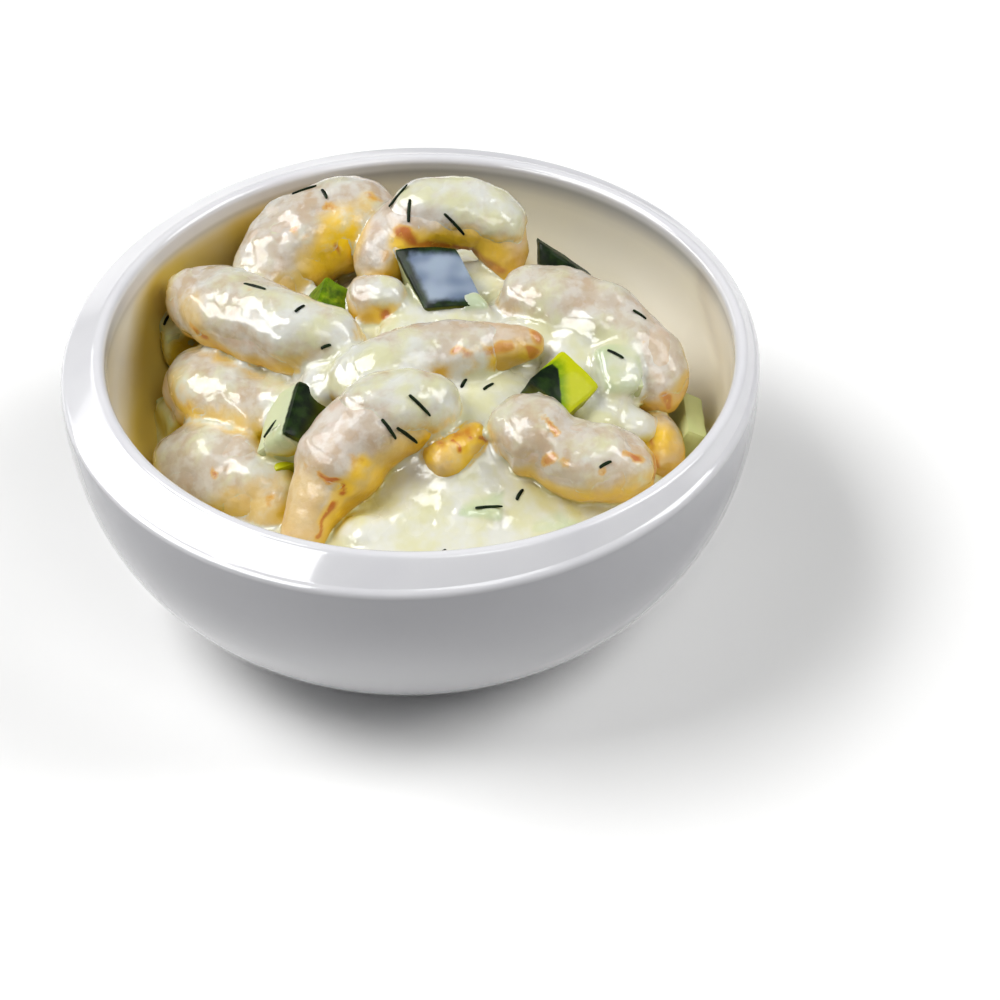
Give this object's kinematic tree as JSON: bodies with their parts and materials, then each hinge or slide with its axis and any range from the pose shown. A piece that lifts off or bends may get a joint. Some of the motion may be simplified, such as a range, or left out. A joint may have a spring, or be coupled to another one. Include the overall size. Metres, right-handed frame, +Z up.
{
  "type": "bowl of shrimp salad",
  "caption": "Small round white porcelain bowl heaped with peeled cold-water shrimp and diced cucumber in a thick dill cream.",
  "frame": {"origin": "on the table, at the middle of the bowl's foot and of its widest circle", "axes": "+Z is up, out of the open mouth; +Y points to the back, away from the camera of the picture; +X points to the right"},
  "size_m": [0.1, 0.1, 0.0456],
  "materials": {
    "porcelain": "glossy glaze, cool white",
    "cream": "wet, glossy, pale ivory with green dill",
    "shrimp": "wet, translucent ivory to orange",
    "cucumber": "wet, lime flesh and dark green skin"
  },
  "bodies": {
    "root": {"bowl": "porcelain", "sauce": "cream", "shrimp_front": "shrimp", "cucumber_skin_up": "cucumber", "cucumber_lime": "cucumber", "shrimp_middle": "shrimp", "shrimp_right_upper": "shrimp", "shrimp_right_lower": "shrimp", "shrimp_left_upper": "shrimp", "cucumber_left": "cucumber", "shrimp_back_middle": "shrimp", "shrimp_back_left": "shrimp", "cucumber_back": "cucumber", "cucumber_green": "cucumber", "shrimp_behind_dice": "shrimp", "cucumber_right": "cucumber", "shrimp_left_middle": "shrimp", "shrimp_left_lower": "shrimp", "shrimp_right_edge": "shrimp", "shrimp_front_small": "shrimp", "cucumber_sliver": "cucumber", "cucumber_wall": "cucumber", "cucumber_front": "cucumber", "cucumber_left_wall": "cucumber", "cucumber_low_left": "cucumber", "cucumber_front_right": "cucumber"}
  },
  "joints": []
}
